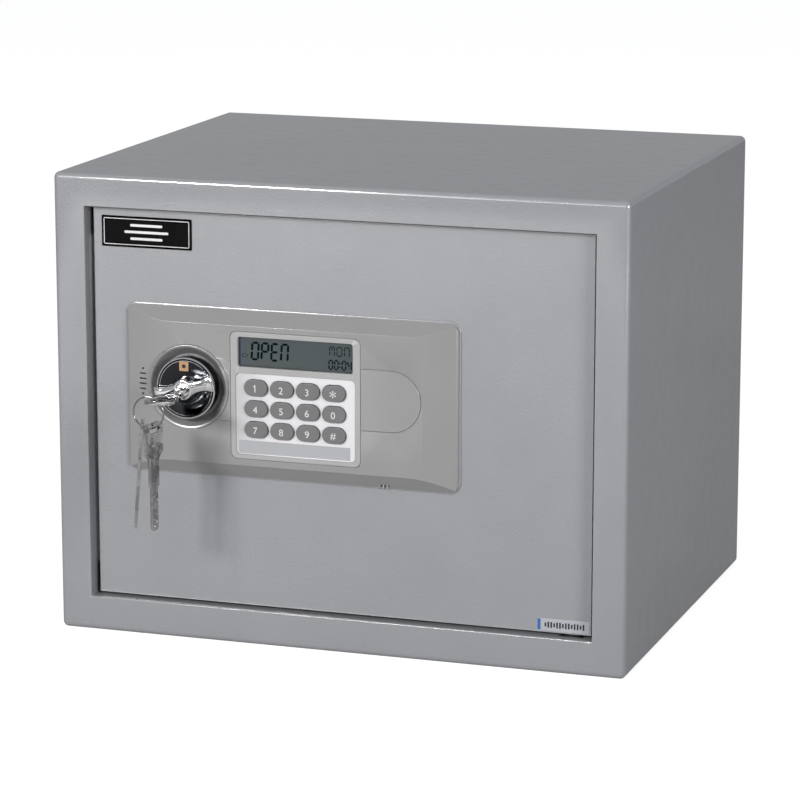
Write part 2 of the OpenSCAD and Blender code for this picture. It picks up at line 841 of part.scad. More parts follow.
body_shell();
front_frame();
back_panel();
hinge_brackets();
hinge_pins();
thrust_washer();
door_stop();
floor_mat();
door_plate();
door_pan();
hinge_blocks();
bolt_bushes();
guide_studs();
solenoid();
main_board();
board_standoffs();
battery_box();
batteries();
door_cover();
door_screws();
knob_bush();
panel_housing();
lock_dish();
blank_cover();
keypad_bezel();
keypad_plate();
name_strip();
lcd_lens();
lcd_panel();
keypad_mat();
keypad_board();
power_socket();
ribbon_cable();
badge_plate();
data_label();
turn_knob();
drive_cam();
spindle_clip();
lock_plug();
lock_key();
key_ring();
spare_key_a();
spare_key_b();
bolt_carriage();
lock_bolts();
solenoid_plunger();
reset_button();
battery_lid();
for (row = [0:2], col = [0:3])
    key_cap(row, col);
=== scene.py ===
import json
import math

import bmesh
import bpy
from mathutils import Matrix, Vector


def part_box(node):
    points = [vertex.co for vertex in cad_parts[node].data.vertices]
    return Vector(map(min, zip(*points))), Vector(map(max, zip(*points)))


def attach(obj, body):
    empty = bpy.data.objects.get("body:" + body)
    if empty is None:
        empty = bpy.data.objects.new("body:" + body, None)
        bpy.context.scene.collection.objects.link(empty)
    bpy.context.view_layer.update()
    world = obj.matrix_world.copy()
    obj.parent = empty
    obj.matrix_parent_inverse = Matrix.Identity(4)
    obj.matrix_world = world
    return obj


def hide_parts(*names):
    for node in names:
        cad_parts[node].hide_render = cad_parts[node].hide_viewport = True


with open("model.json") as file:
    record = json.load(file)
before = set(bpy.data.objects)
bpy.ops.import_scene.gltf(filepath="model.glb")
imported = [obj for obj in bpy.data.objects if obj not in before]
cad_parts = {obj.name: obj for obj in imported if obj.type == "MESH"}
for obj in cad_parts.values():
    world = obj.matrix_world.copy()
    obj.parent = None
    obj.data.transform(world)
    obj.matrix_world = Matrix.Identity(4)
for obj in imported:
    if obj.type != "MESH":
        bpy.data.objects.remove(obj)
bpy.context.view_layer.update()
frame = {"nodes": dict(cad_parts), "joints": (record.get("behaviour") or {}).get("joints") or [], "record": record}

MM = 0.001
scene = bpy.context.scene
SLOT_OF = {part["node"]: part["material_slot"] for part in frame["record"]["subparts"]}
BODY_OF = {
    node: body
    for body, nodes in frame["record"]["behaviour"]["bodies"].items()
    for node in nodes
}
JOINTS = {joint["name"]: joint for joint in frame["joints"]}


# ---------------------------------------------------------------- camera

def make_camera():
    data = bpy.data.cameras.new("camera")
    data.sensor_width = 36
    data.lens = 158.24
    data.clip_start = 0.05
    data.clip_end = 60
    camera = bpy.data.objects.new("camera", data)
    scene.collection.objects.link(camera)
    camera.location = (0.72892, -2.17606, 0.63428)
    camera.rotation_euler = (math.radians(90 - 12.303), 0, math.radians(18.698))
    scene.camera = camera


# ---------------------------------------------------------------- materials

class Shader:
    """A Principled material with helpers for the textures that feed it, in metres of the object."""

    def __init__(self, name, color, roughness, metallic=0.0):
        self.material = bpy.data.materials.new(name)
        self.material.use_nodes = True
        self.nodes = self.material.node_tree.nodes
        self.links = self.material.node_tree.links
        self.bsdf = self.nodes["Principled BSDF"]
        self.color = color
        self.set("Base Color", (*color, 1))
        self.set("Roughness", roughness)
        self.set("Metallic", metallic)
        self.place = self.nodes.new("ShaderNodeTexCoord").outputs["Object"]
        self.height = None

    def set(self, socket, value):
        self.bsdf.inputs[socket].default_value = value

    def noise(self, per_metre, detail=3.0, stretch=(1, 1, 1), roughness=0.55):
        mapping = self.nodes.new("ShaderNodeMapping")
        mapping.inputs["Scale"].default_value = stretch
        self.links.new(self.place, mapping.inputs["Vector"])
        noise = self.nodes.new("ShaderNodeTexNoise")
        noise.inputs["Scale"].default_value = per_metre
        noise.inputs["Detail"].default_value = detail
        noise.inputs["Roughness"].default_value = roughness
        self.links.new(mapping.outputs["Vector"], noise.inputs["Vector"])
        return noise.outputs["Fac"]

    def ramp(self, source, low, high, start=0.3, end=0.7):
        """source, from start to end, becomes a value from low to high."""
        span = self.nodes.new("ShaderNodeMapRange")
        span.inputs["From Min"].default_value = start
        span.inputs["From Max"].default_value = end
        span.inputs["To Min"].default_value = low
        span.inputs["To Max"].default_value = high
        self.links.new(source, span.inputs["Value"])
        return span.outputs["Result"]

    def vary_roughness(self, source, low, high):
        self.links.new(self.ramp(source, low, high), self.bsdf.inputs["Roughness"])
        return self

    def vary_color(self, source, other, low=0.0, high=1.0, start=0.3, end=0.7):
        mix = self.nodes.new("ShaderNodeMix")
        mix.data_type = "RGBA"
        self.links.new(self.ramp(source, low, high, start, end), mix.inputs["Factor"])
        base = self.bsdf.inputs["Base Color"]
        if base.is_linked:
            self.links.new(base.links[0].from_socket, mix.inputs["A"])
        else:
            mix.inputs["A"].default_value = (*self.color, 1)
        mix.inputs["B"].default_value = (*other, 1)
        self.links.new(mix.outputs["Result"], base)
        return self

    def painted_edge_highlight(self, other, amount):
        """Painted highlight on edges: a lighter or darker colour where the surface is sharply convex."""
        geometry = self.nodes.new("ShaderNodeNewGeometry")
        return self.vary_color(geometry.outputs["Pointiness"], other, 0, amount, 0.52, 0.62)

    def bump(self, source, distance, strength=1.0):
        bump = self.nodes.new("ShaderNodeBump")
        bump.inputs["Strength"].default_value = strength
        bump.inputs["Distance"].default_value = distance
        self.links.new(source, bump.inputs["Height"])
        if self.height:
            self.links.new(self.height, bump.inputs["Normal"])
        self.height = bump.outputs["Normal"]
        self.links.new(self.height, self.bsdf.inputs["Normal"])
        return self


def powder_coat():
    """Grey textured paint: a mottled base under a glossy coat with orange peel, and a painted highlight on its
    edges.
    """
    shader = Shader("powder_coat", (0.258, 0.264, 0.280), 0.32)
    shader.vary_color(shader.noise(14, 2), (0.240, 0.246, 0.262))
    shader.vary_color(shader.noise(1500, 2), (0.292, 0.298, 0.312), 0, 0.5, 0.55, 0.75)
    # Painted highlight: the colour lightens on sharply convex edges.
    shader.painted_edge_highlight((0.34, 0.35, 0.365), 0.4)
    shader.vary_roughness(shader.noise(90, 3), 0.29, 0.38)
    shader.set("Coat Weight", 1.0)
    shader.set("Coat Roughness", 0.12)
    shader.set("Coat IOR", 2.0)
    shader.bump(shader.noise(700, 1.5), 0.00028, 0.9)
    shader.bump(shader.noise(1500, 1), 0.00005, 0.5)
    return shader.material


def plastic(name, color, roughness=0.45, grain=2600, depth=0.00002, light=1.12, dark=0.92,
            shine=0.5):
    """Moulded plastic with a fine grain and a painted highlight that makes its edges slightly lighter."""
    shader = Shader(name, color, roughness)
    shader.set("Specular IOR Level", shine)
    shader.vary_color(shader.noise(25, 3), tuple(c * dark for c in color))
    # Painted highlight: the colour lightens by the factor light on sharply convex edges.
    shader.painted_edge_highlight(tuple(min(1, c * light) for c in color), 0.6)
    shader.vary_roughness(shader.noise(120, 4), roughness - 0.06, roughness + 0.06)
    shader.bump(shader.noise(grain, 2), depth, 0.6)
    return shader.material


def metal(name, color, roughness, stretch=(1, 1, 1), lines=900, depth=0.000012, highlight_gain=1.1,
          metallic=1.0):
    """Plain metal with fine stretched lines and a painted highlight on its edges."""
    shader = Shader(name, color, roughness, metallic)
    shader.vary_color(shader.noise(40, 4), tuple(c * 0.86 for c in color))
    # Painted highlight: the edges take a lighter colour.
    shader.painted_edge_highlight(tuple(min(1, c * highlight_gain) for c in color), 0.7)
    brushed = shader.noise(lines, 4, stretch)
    shader.vary_roughness(brushed, roughness * 0.75, roughness * 1.3)
    shader.bump(brushed, depth, 0.5)
    return shader.material


def chrome(name, color, roughness=0.05):
    """Plated metal with a faint wave in its polish."""
    shader = Shader(name, color, roughness, 1.0)
    shader.vary_roughness(shader.noise(160, 5), roughness * 0.6, roughness * 1.9)
    shader.vary_color(shader.noise(60, 3), tuple(c * 0.93 for c in color))
    shader.bump(shader.noise(90, 2), 0.00002, 0.25)
    return shader.material


def polished_steel(name, color):
    """Bright key steel: a slightly wavy polish over fine milling lines, with painted dark reflections in patches
    and a painted highlight on its edges.
    """
    shader = Shader(name, color, 0.12, 1.0)
    # Painted reflection: dark patches in the colour stand for dark surroundings mirrored in the steel.
    shader.vary_color(shader.noise(130, 2), tuple(c * 0.35 for c in color), 0, 0.7, 0.45, 0.6)
    # Painted highlight: the edges are up to twice as light.
    shader.painted_edge_highlight(tuple(min(1, c * 2) for c in color), 0.8)
    shader.vary_roughness(shader.noise(700, 4, (1, 1, 0.2)), 0.07, 0.16)
    shader.bump(shader.noise(110, 1), 0.0016, 1.0)
    return shader.material


def rubber(name, color):
    """Matt rubber with a fine grain and a painted highlight on its edges."""
    shader = Shader(name, color, 0.5)
    shader.vary_color(shader.noise(60, 3), tuple(c * 0.9 for c in color))
    # Painted highlight: the edges take a lighter colour.
    shader.painted_edge_highlight(tuple(c * 1.35 for c in color), 0.5)
    shader.vary_roughness(shader.noise(500, 3), 0.42, 0.56)
    shader.bump(shader.noise(3600, 2), 0.000015, 0.7)
    return shader.material


def felt(name, color):
    """Soft fibrous matting."""
    shader = Shader(name, color, 0.95)
    shader.vary_color(shader.noise(1100, 5), tuple(c * 1.9 for c in color))
    shader.bump(shader.noise(900, 6), 0.0006, 0.9)
    shader.set("Sheen Weight", 0.35)
    shader.set("Sheen Roughness", 0.6)
    return shader.material


def display():
    """The dull green-grey face of the display."""
    shader = Shader("lcd_face", (0.060, 0.074, 0.076), 0.5)
    shader.vary_color(shader.noise(18, 1), (0.054, 0.067, 0.070))
    shader.vary_roughness(shader.noise(300, 2), 0.32, 0.42)
    shader.bump(shader.noise(5000, 1), 0.000004, 0.4)
    return shader.material


def lens():
    """The clear window over the display."""
    shader = Shader("lcd_glass", (0.02, 0.02, 0.02), 0.05)
    shader.set("Alpha", 0.03)
    shader.set("IOR", 1.2)
    shader.vary_roughness(shader.noise(200, 4), 0.03, 0.08)
    shader.bump(shader.noise(60, 1), 0.000004, 0.2)
    return shader.material


def panel_grey():
    """The satin moulding of the keypad panel, with a painted highlight on its edges."""
    shader = Shader("panel_grey", (0.246, 0.245, 0.244), 0.34)
    shader.vary_color(shader.noise(25, 3), (0.232, 0.231, 0.230))
    # Painted highlight: the edges take a lighter colour.
    shader.painted_edge_highlight((0.34, 0.338, 0.335), 0.5)
    shader.vary_roughness(shader.noise(120, 4), 0.3, 0.38)
    shader.set("Coat Weight", 0.9)
    shader.set("Coat Roughness", 0.14)
    shader.set("Coat IOR", 1.7)
    shader.bump(shader.noise(2400, 2), 0.00001, 0.6)
    return shader.material


def badge_black():
    """Dark printed plate."""
    shader = Shader("badge_black", (0.003, 0.003, 0.0035), 0.22)
    shader.set("Specular IOR Level", 0.1)
    shader.vary_color(shader.noise(30, 3), (0.0015, 0.0015, 0.002))
    shader.vary_roughness(shader.noise(150, 4), 0.18, 0.28)
    shader.bump(shader.noise(300, 2), 0.000004, 0.6)
    return shader.material


def plate_aluminium():
    """Brushed plate, with painted shade that darkens its left end."""
    shader = Shader("plate_aluminium", (0.80, 0.79, 0.81), 0.4, 0.4)
    lines = shader.noise(220, 4, (0.6, 1, 45))
    shader.vary_color(lines, (0.70, 0.69, 0.71))
    # Painted shade: over the left third of the plate the colour darkens towards the left end, for the shade of the
    # bezel's recess.
    across = shader.nodes.new("ShaderNodeSeparateXYZ")
    shader.links.new(shader.place, across.inputs["Vector"])
    left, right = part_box("keypad_plate")[0].x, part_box("keypad_plate")[1].x
    shaded = left + (right - left) * 0.3
    shader.vary_color(across.outputs["X"], (0.52, 0.52, 0.54), 0.9, 0, left, shaded)
    shader.vary_roughness(lines, 0.34, 0.46)
    shader.bump(lines, 0.00001, 0.5)
    return shader.material


def make_materials():
    """Every material, by its name."""
    return {
        "powder_coat": powder_coat(),
        "zinc_steel": metal("zinc_steel", (0.56, 0.57, 0.60), 0.34, (1, 1, 8), 500),
        "bolt_steel": metal("bolt_steel", (0.66, 0.67, 0.68), 0.18, (8, 1, 1), 700),
        "chrome": chrome("chrome", (0.92, 0.92, 0.93)),
        "dark_chrome": chrome("dark_chrome", (0.045, 0.047, 0.052), 0.06),
        "key_steel": polished_steel("key_steel", (0.50, 0.495, 0.49)),
        "ring_steel": chrome("ring_steel", (0.38, 0.36, 0.35), 0.1),
        "brass": metal("brass", (0.70, 0.52, 0.24), 0.28, (1, 6, 1), 600),
        "white_nylon": plastic("white_nylon", (0.72, 0.71, 0.67), 0.4),
        "panel_grey": panel_grey(),
        "dish_grey": metal("dish_grey", (0.33, 0.33, 0.335), 0.32, (1, 9, 1), 300, metallic=0.5),
        # The bezel's edges carry a stronger painted highlight.
        "bezel_silver": plastic("bezel_silver", (0.35, 0.35, 0.352), 0.34, 2400, 0.000008, 1.5),
        "plate_aluminium": plate_aluminium(),
        "label_grey": plastic("label_grey", (0.36, 0.365, 0.385), 0.42),
        "lcd_glass": lens(),
        "lcd_face": display(),
        "segment_black": plastic("segment_black", (0.002, 0.009, 0.010), 0.8, shine=0),
        "segment_faint": plastic("segment_faint", (0.014, 0.024, 0.026), 0.8, shine=0),
        "tint_violet": plastic("tint_violet", (0.03, 0.03, 0.10), 0.4),
        "cap_rubber": rubber("cap_rubber", (0.150, 0.150, 0.153)),
        "legend_white": plastic("legend_white", (0.62, 0.62, 0.62), 0.55),
        "mat_rubber": rubber("mat_rubber", (0.05, 0.05, 0.052)),
        "circuit_board": plastic("circuit_board", (0.02, 0.12, 0.05), 0.3, 800),
        # The black plastic's edges carry a strong painted highlight.
        "black_plastic": plastic("black_plastic", (0.018, 0.018, 0.020), 0.42, 1800, 0.00004, 2.2),
        "coil_steel": metal("coil_steel", (0.30, 0.30, 0.31), 0.4, (1, 1, 6), 500),
        "cell_wrap": plastic("cell_wrap", (0.50, 0.26, 0.05), 0.22),
        "ribbon": plastic("ribbon", (0.32, 0.32, 0.34), 0.45),
        "badge_black": badge_black(),
        "label_white": plastic("label_white", (0.36, 0.38, 0.41), 0.5),
        "label_blue": plastic("label_blue", (0.03, 0.10, 0.32), 0.5),
        "sticker_orange": plastic("sticker_orange", (0.38, 0.23, 0.12), 0.5),
        "floor_felt": felt("floor_felt", (0.022, 0.022, 0.025)),
        "red_button": plastic("red_button", (0.45, 0.02, 0.015), 0.25),
        "slot_dark": plastic("slot_dark", (0.012, 0.012, 0.012), 0.7),
    }


# ---------------------------------------------------------------- mesh helpers

def shade(mesh, degrees):
    mesh.shade_smooth()
    mesh.set_sharp_from_angle(angle=math.radians(degrees))


def add_object(name, bm, material, smooth=32):
    mesh = bpy.data.meshes.new(name)
    bmesh.ops.recalc_face_normals(bm, faces=bm.faces)
    bm.to_mesh(mesh)
    bm.free()
    mesh.materials.append(MATERIALS[material])
    shade(mesh, smooth)
    obj = bpy.data.objects.new(name, mesh)
    scene.collection.objects.link(obj)
    return obj


def settle(obj, body, slot, *replaced):
    """The piece rides on a body and stands for the CAD nodes, which it hides; slot is not used."""
    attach(obj, body)
    if replaced:
        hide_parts(*replaced)
    return obj


def bevel(obj, width, segments=2, degrees=35):
    modifier = obj.modifiers.new("bevel", "BEVEL")
    modifier.width = width * MM
    modifier.segments = segments
    modifier.limit_method = "ANGLE"
    modifier.angle_limit = math.radians(degrees)
    modifier.use_clamp_overlap = True
    return obj


def bake(obj, smooth=32):
    """Applies the piece's modifiers."""
    graph = bpy.context.evaluated_depsgraph_get()
    made = bpy.data.meshes.new_from_object(obj.evaluated_get(graph))
    obj.modifiers.clear()
    obj.data = made
    shade(made, smooth)
    return obj


def boolean(obj, bm, operation="DIFFERENCE"):
    """Cuts the bmesh's solids from the piece, or adds them to it."""
    tool = add_object("tool", bm, "chrome")
    modifier = obj.modifiers.new("cut", "BOOLEAN")
    modifier.operation = operation
    modifier.solver = "EXACT"
    modifier.use_self = True
    modifier.object = tool
    bake(obj)
    bpy.data.objects.remove(tool)
    return obj


def add_box(bm, low, high):
    size = [h - l for l, h in zip(low, high)]
    middle = [(h + l) / 2 for l, h in zip(low, high)]
    place = Matrix.Translation(middle) @ Matrix.Diagonal((*size, 1))
    return bmesh.ops.create_cube(bm, size=1, matrix=place)["verts"]


def add_rod(bm, start, end, radius, sides=48, radius_end=None):
    """A round bar between two points."""
    start, end = Vector(start), Vector(end)
    turn = (end - start).to_track_quat("Z", "Y").to_matrix().to_4x4()
    place = Matrix.Translation((start + end) / 2) @ turn
    bmesh.ops.create_cone(
        bm, cap_ends=True, segments=sides, radius1=radius,
        radius2=radius if radius_end is None else radius_end,
        depth=(end - start).length, matrix=place,
    )


def add_prism(bm, outline, y0, y1):
    """A prism along Y from an outline of (x, z) points."""
    rings = [[bm.verts.new((x, y, z)) for x, z in outline] for y in (y0, y1)]
    count = len(outline)
    bm.faces.new(rings[0])
    bm.faces.new(reversed(rings[1]))
    for i in range(count):
        j = (i + 1) % count
        bm.faces.new((rings[0][i], rings[0][j], rings[1][j], rings[1][i]))


def add_lathe(bm, centre, profile, sides=96):
    """Turns a profile of (radius, y) points about the Y axis through centre (x, z)."""
    rings = []
    for radius, y in profile:
        if radius < 1e-7:
            rings.append([bm.verts.new((centre[0], y, centre[1]))])
            continue
        rings.append([
            bm.verts.new((
                centre[0] + radius * math.cos(2 * math.pi * i / sides), y,
                centre[1] + radius * math.sin(2 * math.pi * i / sides),
            ))
            for i in range(sides)
        ])
    for a, b in zip(rings, rings[1:]):
        for i in range(sides):
            j = (i + 1) % sides
            corners = [a[i % len(a)], a[j % len(a)], b[j % len(b)], b[i % len(b)]]
            unique = list(dict.fromkeys(corners))
            if len(unique) > 2:
                bm.faces.new(unique)


def box_outline(x0, x1, z0, z1):
    return [(x0, z0), (x1, z0), (x1, z1), (x0, z1)]


def rounded_outline(x0, x1, z0, z1, r, steps=8):
    points = []
    for cx, cz, start in ((x1 - r, z1 - r, 0), (x0 + r, z1 - r, 90), (x0 + r, z0 + r, 180),
                          (x1 - r, z0 + r, 270)):
        for i in range(steps + 1):
            a = math.radians(start + 90 * i / steps)
            points.append((cx + r * math.cos(a), cz + r * math.sin(a)))
    return points


def centre_of(node):
    low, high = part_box(node)
    return (low + high) / 2


def clean_copy(node, material=None, flat=0.6):
    """A copy of a CAD node's mesh, with its vertices joined and its flat faces whole."""
    mesh = frame["nodes"][node].data.copy()
    bm = bmesh.new()
    bm.from_mesh(mesh)
    bpy.data.meshes.remove(mesh)
    bmesh.ops.remove_doubles(bm, verts=bm.verts, dist=2e-6)
    bmesh.ops.dissolve_limit(
        bm, angle_limit=math.radians(flat), verts=bm.verts, edges=bm.edges, delimit={"NORMAL"}
    )
    for face in bm.faces:
        face.material_index = 0
    return add_object("fine_" + node, bm, material or SLOT_OF[node])


def refine(node, width, segments=2, material=None, degrees=35, flat=0.6, grow=None):
    """Stands for a CAD node with soft edges; grow moves its right and top edges out, in mm."""
    obj = clean_copy(node, material, flat)
    if grow:
        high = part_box(node)[1]
        for vertex in obj.data.vertices:
            for i, reach in ((0, grow[0]), (2, grow[1])):
                if vertex.co[i] > high[i] - 0.1 * MM:
                    vertex.co[i] += reach * MM
    if width:
        bevel(obj, width, segments, degrees)
    return settle(obj, BODY_OF[node], SLOT_OF[node], node)


# ---------------------------------------------------------------- body

FOLD_RADIUS = 3.8 * MM
HINGE_NOTCH = 8 * MM


def round_edges(bm, test, radius, segments):
    """Rounds the edges that pass the test."""
    edges = [e for e in bm.edges if test(e)]
    bmesh.ops.bevel(
        bm, geom=edges, offset=radius, segments=segments, profile=0.5, affect="EDGES",
        clamp_overlap=True,
    )


def safe_body():
    """The folded shell and front frame as one sheet, with the hinge notches and floor holes cut."""
    low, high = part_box("body_shell")
    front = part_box("front_frame")[0].y
    back = high.y
    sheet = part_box("back_panel")[1].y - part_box("back_panel")[0].y
    flange_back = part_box("front_frame")[1].y
    open_low, open_high = opening()
    hinge = Vector(JOINTS["door_hinge"]["pos_m"])

    bm = bmesh.new()
    add_box(bm, (low.x, front, low.z), (high.x, back, high.z))
    round_edges(bm, lambda e: any(v.co.y < back - 1e-4 for v in e.verts), FOLD_RADIUS, 7)
    shell = add_object("safe_body", bm, "powder_coat")

    bm = bmesh.new()
    add_box(bm, (low.x + sheet, front + sheet, low.z + sheet),
            (high.x - sheet, back + sheet, high.z - sheet))
    boolean(shell, bm)
    bm = bmesh.new()
    add_box(bm, (open_low.x - sheet, front + sheet / 2, open_low.z - sheet),
            (open_high.x + sheet, flange_back, open_high.z + sheet))
    boolean(shell, bm, "UNION")
    bm = bmesh.new()
    add_box(bm, (open_low.x, front - sheet, open_low.z),
            (open_high.x, flange_back + sheet, open_high.z))
    boolean(shell, bm)

    bm = bmesh.new()
    for z in (open_low.z, open_high.z):
        add_box(bm, (hinge.x - HINGE_NOTCH, hinge.y - HINGE_NOTCH, z - 2 * sheet),
                (hinge.x + HINGE_NOTCH, flange_back + sheet, z + 2 * sheet))
    anchors = {m["name"]: m for m in frame["record"]["mounts"]}
    for side in (-1, 1):
        dims = anchors["floor_anchors"]["dims"]
        spot = Vector(anchors["floor_anchors"]["pos_m"])
        spot.x = side * dims["spacing_x_mm"] / 2 * MM
        add_rod(bm, spot - Vector((0, 0, 5 * MM)), spot + Vector((0, 0, 5 * MM)),
                dims["hole_r_mm"] * MM)
    boolean(shell, bm)
    bevel(shell, 1.1, 3, 50)
    settle(shell, "body", "powder_coat", "body_shell", "front_frame")


def opening():
    """The door opening's corners, from the frame's own inner edges."""
    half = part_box("body_shell")[1].x
    bottom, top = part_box("body_shell")[0].z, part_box("body_shell")[1].z
    points = [v.co for v in frame["nodes"]["front_frame"].data.vertices]
    front = min(p.y for p in points)
    # Points of the face and its fold, without the body's outer corners or the hinge notches.
    inner = [p for p in points if p.y < front + 8 * MM and abs(p.x) < half - 12 * MM]
    middle = (bottom + top) / 2
    x1 = min(abs(p.x) for p in inner if abs(p.x) > half - 25 * MM)
    z0 = max(p.z for p in inner if p.z < middle)
    z1 = min(p.z for p in inner if p.z > middle)
    return Vector((-x1, 0, z0)), Vector((x1, 0, z1))


# ---------------------------------------------------------------- turn knob

WING_SLOPE = 15
HUB_OUT = 5.8 * MM
DISC_DEPTH = 8.4 * MM
SLEEVE_RADIUS = 8 * MM
SPINDLE_RADIUS = 6 * MM
PLUG_HOLE = 4.6 * MM
SECTION_POINTS = 20
SQUARENESS = 0.62


def knob_wing(bm, hub, side, slope):
    """One wing: sections from inside the hub to the flared tip, each (reach, half, front, back)."""
    x, z, disc = hub
    sections = [
        (0.0, 5.6, 5.5, 0.3), (4.0, 5.2, 5.4, 0.3), (8.0, 3.9, 5.0, 0.4), (12.0, 3.6, 4.7, 0.5),
        (15.5, 4.2, 4.7, 0.5), (18.2, 5.2, 4.6, 0.5), (19.7, 5.4, 4.1, 0.7), (20.2, 4.5, 3.3, 1.2),
    ]
    out = Vector((side * math.cos(slope), 0, side * math.sin(slope)))
    up = Vector((-math.sin(slope), 0, math.cos(slope)))
    rings = []
    for reach, half, front, back in sections:
        middle, depth = (front + back) / 2, (front - back) / 2
        ring = []
        for i in range(SECTION_POINTS):
            a = 2 * math.pi * i / SECTION_POINTS
            c, s = math.cos(a), math.sin(a)
            wide = half * math.copysign(abs(c) ** SQUARENESS, c)
            deep = middle + depth * math.copysign(abs(s) ** SQUARENESS, s)
            point = Vector((x, disc, z)) + (out * reach + up * wide) * MM
            point.y -= deep * MM
            ring.append(bm.verts.new(point))
        rings.append(ring)
    for a, b in zip(rings, rings[1:]):
        for i in range(SECTION_POINTS):
            j = (i + 1) % SECTION_POINTS
            bm.faces.new((a[i], a[j], b[j], b[i]))
    bm.faces.new(rings[0])
    bm.faces.new(rings[-1])


def turn_knob():
    """The knob: a dark polished disc with two bright rings, a hub and two wings."""
    dish = centre_of("lock_dish")
    x, z = dish.x, dish.z
    low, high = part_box("turn_knob")
    radius = (high.z - low.z) / 2
    disc = low.y + HUB_OUT
    disc_back = disc + DISC_DEPTH
    sleeve_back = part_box("spindle_clip")[0].y

    bm = bmesh.new()
    groove = radius - 1.9 * MM
    add_lathe(bm, (x, z), [
        (6.4 * MM, disc + 0.2 * MM), (7.2 * MM, disc),
        (groove - 0.5 * MM, disc), (groove - 0.3 * MM, disc + 0.35 * MM),
        (groove, disc + 0.35 * MM), (groove + 0.2 * MM, disc),
        (radius - 0.8 * MM, disc + 0.1 * MM), (radius - 0.2 * MM, disc + 0.35 * MM),
        (radius, disc + 0.9 * MM), (radius, disc_back), (SLEEVE_RADIUS, disc_back),
        (SLEEVE_RADIUS, sleeve_back), (SPINDLE_RADIUS, sleeve_back), (SPINDLE_RADIUS, high.y),
        (PLUG_HOLE, high.y), (PLUG_HOLE, disc + 0.2 * MM), (6.4 * MM, disc + 0.2 * MM),
    ])
    settle(add_object("knob_disc", bm, "dark_chrome"), "knob", "chrome", "turn_knob")

    bm = bmesh.new()
    add_lathe(bm, (x, z), [(groove - 0.28 * MM, disc + 0.30 * MM),
                           (groove - 0.26 * MM, disc - 0.02 * MM),
                           (groove - 0.02 * MM, disc - 0.02 * MM), (groove, disc + 0.30 * MM)])
    add_lathe(bm, (x, z), [(radius - 0.75 * MM, disc + 0.06 * MM), (radius - 0.5 * MM, disc - 0.1 * MM),
                           (radius + 0.05 * MM, disc + 0.25 * MM),
                           (radius + 0.1 * MM, disc + 1.2 * MM), (radius, disc + 1.2 * MM)])
    settle(add_object("knob_rings", bm, "chrome"), "knob", "chrome")

    bm = bmesh.new()
    for side in (1, -1):
        knob_wing(bm, (x, z, disc), side, math.radians(WING_SLOPE))
    wings = add_object("knob_wings", bm, "chrome", 60)
    bm = bmesh.new()
    add_lathe(bm, (x, z), [
        (0, disc + 0.3 * MM), (7.9 * MM, disc + 0.3 * MM), (7.6 * MM, disc - 1.2 * MM),
        (7.1 * MM, disc - 3 * MM), (6.9 * MM, disc - 4.4 * MM), (6.4 * MM, disc - 5.3 * MM),
        (5.6 * MM, disc - 5.7 * MM), (0, disc - HUB_OUT),
    ], 64)
    boolean(wings, bm, "UNION")
    bm = bmesh.new()
    add_rod(bm, (x, disc + 2 * MM, z), (x, disc - 16 * MM, z), 4.7 * MM, 64)
    boolean(wings, bm)
    bevel(wings, 0.35, 3, 40)
    settle(wings, "knob", "chrome")

    bm = bmesh.new()
    half, across, up = 3.1 * MM, x - 1 * MM, z + 14.2 * MM
    add_prism(bm, rounded_outline(across - half, across + half, up - half, up + half, 0.4 * MM),
              disc - 0.1 * MM, disc + 0.02 * MM)
    settle(add_object("knob_sticker", bm, "sticker_orange"), "knob", "chrome")
    bm = bmesh.new()
    add_rod(bm, (across, disc - 0.14 * MM, up), (across, disc - 0.05 * MM, up), 1.3 * MM, 32)
    settle(add_object("sticker_dot", bm, "slot_dark"), "knob", "chrome")


# ---------------------------------------------------------------- keys

# Dimples of a key's blade: share of the key's length from its bow, and row
DIMPLES = [(0.635, 1), (0.675, -1), (0.70, 1), (0.745, 1), (0.765, -1), (0.81, -1), (0.84, 1),
           (0.885, -1), (0.905, 1), (0.945, -1)]
DIMPLE_RADIUS = 1.35 * MM
DIMPLE_ROW = 1.35 * MM
# Marks of a key's bow: share of the length, place across, width and height, in mm
BOW_MARKS = [(0.20, -3.6, 3.0, 0.5), (0.20, 3.6, 3.0, 0.5), (0.295, 0, 5.4, 0.5)]
NECK_MARKS = [(share, 0, 4.4, 0.7) for share in (0.38, 0.42, 0.46, 0.50, 0.54)]
MARK_DEPTH = 0.5 * MM
RING_TURNS = 2.15


def key_axes(mesh):
    """A key's flat normal, the way its blade points, and its width direction."""
    flat = max(mesh.polygons, key=lambda p: p.area)
    normal = flat.normal.normalized()
    hangs = max(v.co.z for v in mesh.vertices) - min(v.co.z for v in mesh.vertices) > 30 * MM
    along = Vector((0, 0, -1)) if hangs else Vector((0, 1, 0))
    along = (along - normal * along.dot(normal)).normalized()
    return normal, along, normal.cross(along)


